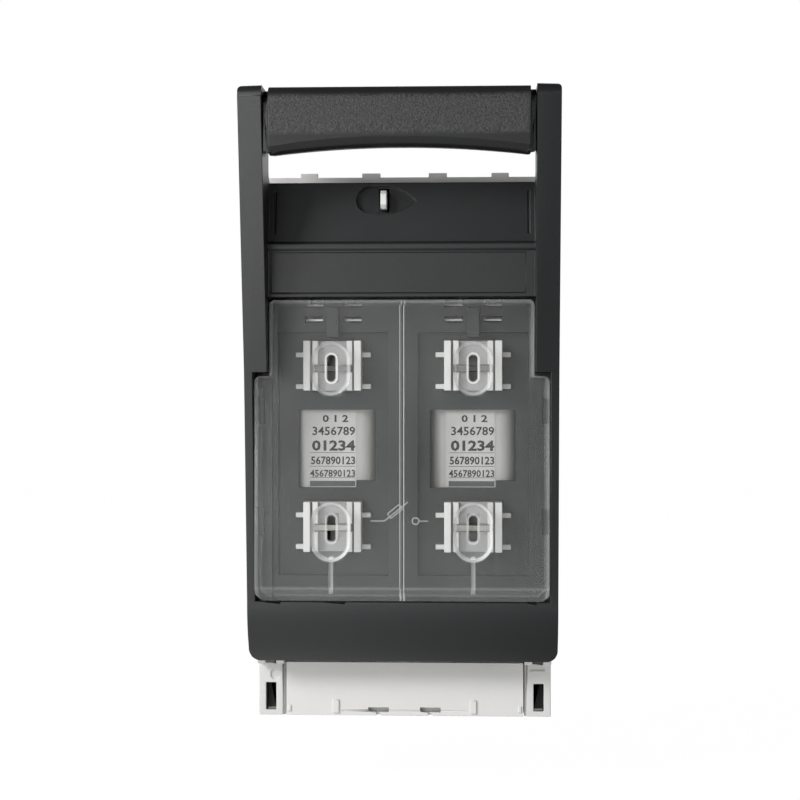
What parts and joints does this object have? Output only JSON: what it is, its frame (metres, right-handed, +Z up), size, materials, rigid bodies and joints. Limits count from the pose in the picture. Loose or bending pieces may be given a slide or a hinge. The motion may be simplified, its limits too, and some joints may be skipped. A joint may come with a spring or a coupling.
{
  "type": "fuse switch disconnector",
  "caption": "Base-mounted low-voltage fuse switch disconnector with hinged lid, bar handle, clear window, knife-blade fuse-links, contact jaws and terminal covers.",
  "frame": {"origin": "centre of the four mounting holes, in the flat back plane", "axes": "X to the right and Z up as the device hangs on its plate, Y into the plate, so the front has negative Y"},
  "size_m": [0.1252, 0.1101, 0.253],
  "materials": {
    "base_plastic": "light grey moulded thermoplastic",
    "cover_plastic": "light grey moulded thermoplastic",
    "white_plastic": "white moulded thermoplastic",
    "plated_steel": "zinc plated",
    "lid_plastic": "anthracite, finely grained",
    "grip_plastic": "anthracite, leather grain",
    "panel_plastic": "anthracite, matt",
    "clear_plastic": "clear moulded polycarbonate",
    "chute_plastic": "dark heat-resistant moulding",
    "arc_steel": "nickel plated",
    "ceramic": "unglazed steatite, cream white",
    "silvered_copper": "silver-plated copper",
    "label_paper": "bare printed-label stock",
    "spring_steel": "spring steel strip",
    "tinned_copper": "tinned copper bar",
    "end_plate_metal": "silver-plated sheet"
  },
  "bodies": {
    "base": {"base_housing": "base_plastic", "seal_tab": "white_plastic", "hinge_pins": "plated_steel", "contact_screws": "plated_steel", "terminal_bolts": "plated_steel", "arc_chute_left": "chute_plastic", "arc_plates_left": "arc_steel", "arc_chute_right": "chute_plastic", "arc_plates_right": "arc_steel", "jaw_top_left": "silvered_copper", "jaw_springs_top_left": "spring_steel", "terminal_bar_top_left": "tinned_copper", "jaw_bottom_left": "silvered_copper", "jaw_springs_bottom_left": "spring_steel", "terminal_bar_bottom_left": "tinned_copper", "jaw_top_right": "silvered_copper", "jaw_springs_top_right": "spring_steel", "terminal_bar_top_right": "tinned_copper", "jaw_bottom_right": "silvered_copper", "jaw_springs_bottom_right": "spring_steel", "terminal_bar_bottom_right": "tinned_copper"},
    "bottom_cover": {"bottom_terminal_cover": "cover_plastic"},
    "top_cover": {"top_terminal_cover": "cover_plastic"},
    "lid": {"lid_frame": "lid_plastic", "handle_grip": "grip_plastic", "inner_panel": "panel_plastic", "fuse_body_left": "ceramic", "fuse_blades_left": "silvered_copper", "fuse_label_left": "label_paper", "fuse_body_right": "ceramic", "fuse_blades_right": "silvered_copper", "fuse_label_right": "label_paper", "end_plate_top_left": "end_plate_metal", "lug_holder_top_left": "white_plastic", "end_plate_bottom_left": "end_plate_metal", "lug_holder_bottom_left": "white_plastic", "end_plate_top_right": "end_plate_metal", "lug_holder_top_right": "white_plastic", "end_plate_bottom_right": "end_plate_metal", "lug_holder_bottom_right": "white_plastic"},
    "window": {"window": "clear_plastic"}
  },
  "joints": [
    {"name": "lid_hinge", "type": "hinge", "parent": "base", "child": "lid", "pos_m": [0, -0.06, -0.095], "axis": [1, 0, 0], "range_deg": [0, 70]},
    {"name": "window_slide", "type": "slide", "parent": "lid", "child": "window", "axis": [0, -1, 0], "range_m": [0, 0.03]},
    {"name": "bottom_cover_slide", "type": "slide", "parent": "base", "child": "bottom_cover", "axis": [0, 0, -1], "range_m": [0, 0.03]},
    {"name": "top_cover_slide", "type": "slide", "parent": "base", "child": "top_cover", "axis": [0, 0, 1], "range_m": [0, 0.03]}
  ]
}
